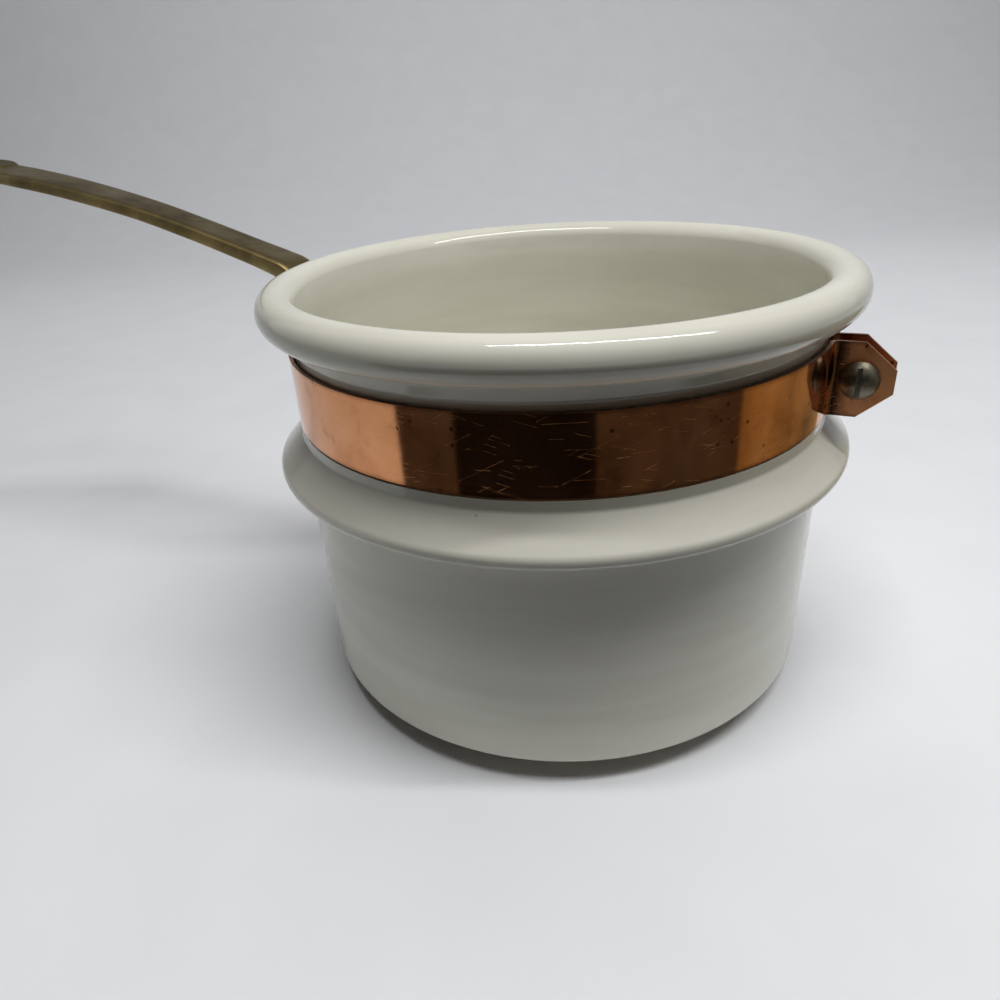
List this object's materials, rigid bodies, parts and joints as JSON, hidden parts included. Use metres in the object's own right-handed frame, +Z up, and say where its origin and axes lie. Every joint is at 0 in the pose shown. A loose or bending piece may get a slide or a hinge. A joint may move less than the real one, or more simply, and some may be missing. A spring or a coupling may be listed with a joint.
{
  "type": "double boiler insert pot",
  "caption": "Glazed ceramic insert pot with rolled rim and hanging collar, gripped at the neck by a split copper strap with clamp screw and a long riveted brass handle.",
  "frame": {"origin": "centre of the flat base, on the pot's axis", "axes": "+Z up along the pot's axis, -X along the handle, +X through the strap's split, -Y the side of the screw's head"},
  "size_m": [0.325, 0.1614, 0.1429],
  "materials": {
    "glazed_ceramic": "gloss",
    "copper": "polished, lightly scratched",
    "cast_brass": "aged satin",
    "aged_steel": "dull"
  },
  "bodies": {
    "pot_and_handle": {"ceramic_pot": "glazed_ceramic", "clamp_band": "copper", "clamp_nut": "aged_steel", "handle": "cast_brass", "foot_rivet_front": "copper", "foot_rivet_back": "copper", "foot_rivet_low": "copper"},
    "clamp_screw": {"clamp_screw": "aged_steel"}
  },
  "joints": [
    {"name": "clamp_screw_turn", "type": "hinge", "parent": "pot_and_handle", "child": "clamp_screw", "pos_m": [0.08, 0, 0.08529], "axis": [0, -1, 0], "range_deg": [0, 720]}
  ]
}
